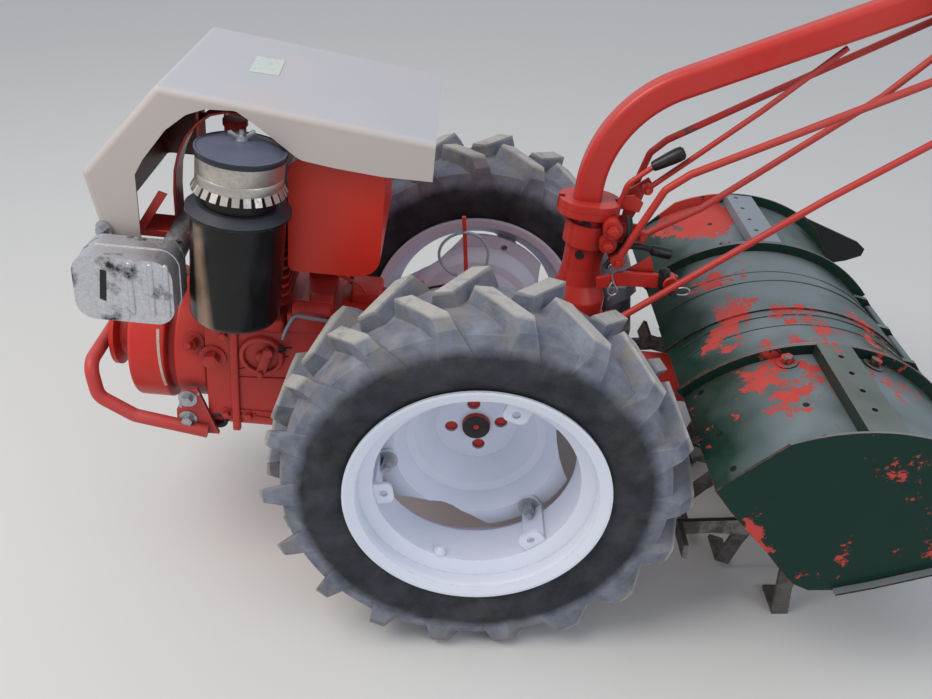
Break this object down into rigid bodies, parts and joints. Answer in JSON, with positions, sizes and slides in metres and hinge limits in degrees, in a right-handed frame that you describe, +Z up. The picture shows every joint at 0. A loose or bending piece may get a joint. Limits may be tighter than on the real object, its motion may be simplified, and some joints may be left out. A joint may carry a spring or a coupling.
{
  "type": "walking tractor",
  "caption": "Walking tractor: engine in front under a hood, lugged tyres, handlebars on a bent beam, and a covered rotary tiller behind.",
  "frame": {"origin": "on the ground, under the middle of the machine's length and width", "axes": "+X forwards to the engine, +Y to the machine's left, +Z up"},
  "size_m": [1.934, 0.8623, 1.057],
  "materials": {
    "bare_aluminium": "sooty",
    "black_paint": "dull",
    "red_casting": "worn paint",
    "green_paint": "worn",
    "hood_paint": "faded",
    "red_iron": "worn paint",
    "red_paint": "worn",
    "rim_paint": "matt",
    "grip_rubber": "matt",
    "bare_steel": "dull",
    "tyre": "dusty"
  },
  "bodies": {
    "chassis": {"beam": "red_paint", "bumper": "red_paint", "carburettor": "bare_aluminium", "column": "red_paint", "column_bracket": "red_paint", "cover_left": "green_paint", "cover_middle": "green_paint", "cover_right": "green_paint", "cover_straps": "green_paint", "crankcase": "red_casting", "cylinder": "red_casting", "depth_arm": "black_paint", "drive_case": "red_iron", "exhaust_pipe": "bare_aluminium", "fan_housing": "red_casting", "filter_bowl": "black_paint", "filter_cap": "bare_aluminium", "fuel_tank": "red_paint", "gearbox": "red_casting", "grips": "grip_rubber", "handle_head": "red_paint", "handles": "red_paint", "hinge_rod": "bare_steel", "hitch_bracket": "red_paint", "hood": "hood_paint", "hood_frame": "red_paint", "muffler": "bare_aluminium", "rod_a": "red_paint", "rod_b": "red_paint", "rod_c": "red_paint", "rod_d": "red_paint", "rod_e": "red_paint", "starting_pulley": "red_paint", "tank_bracket": "red_paint"},
    "wheel_left": {"rim_left": "rim_paint", "tyre_left": "tyre", "wheel_disc_left": "rim_paint", "wheel_hub_left": "red_iron"},
    "wheel_right": {"rim_right": "rim_paint", "tyre_right": "tyre", "wheel_disc_right": "rim_paint", "wheel_hub_right": "red_iron"},
    "rotor": {"rotor": "bare_steel"},
    "rear_flap": {"rear_flap": "green_paint"}
  },
  "joints": [
    {"name": "wheel_left_turn", "type": "hinge", "parent": "chassis", "child": "wheel_left", "pos_m": [0.29025, 0.2915, 0.335], "axis": [0, 1, 0], "continuous": true},
    {"name": "wheel_right_turn", "type": "hinge", "parent": "chassis", "child": "wheel_right", "pos_m": [0.29025, -0.2915, 0.335], "axis": [0, 1, 0], "continuous": true},
    {"name": "rotor_turn", "type": "hinge", "parent": "chassis", "child": "rotor", "pos_m": [-0.25564, 0, 0.2105], "axis": [0, 1, 0], "continuous": true},
    {"name": "rear_flap_lift", "type": "hinge", "parent": "chassis", "child": "rear_flap", "pos_m": [-0.49379, 0, 0.37066], "axis": [0, 1, 0], "range_deg": [0, 80]}
  ]
}
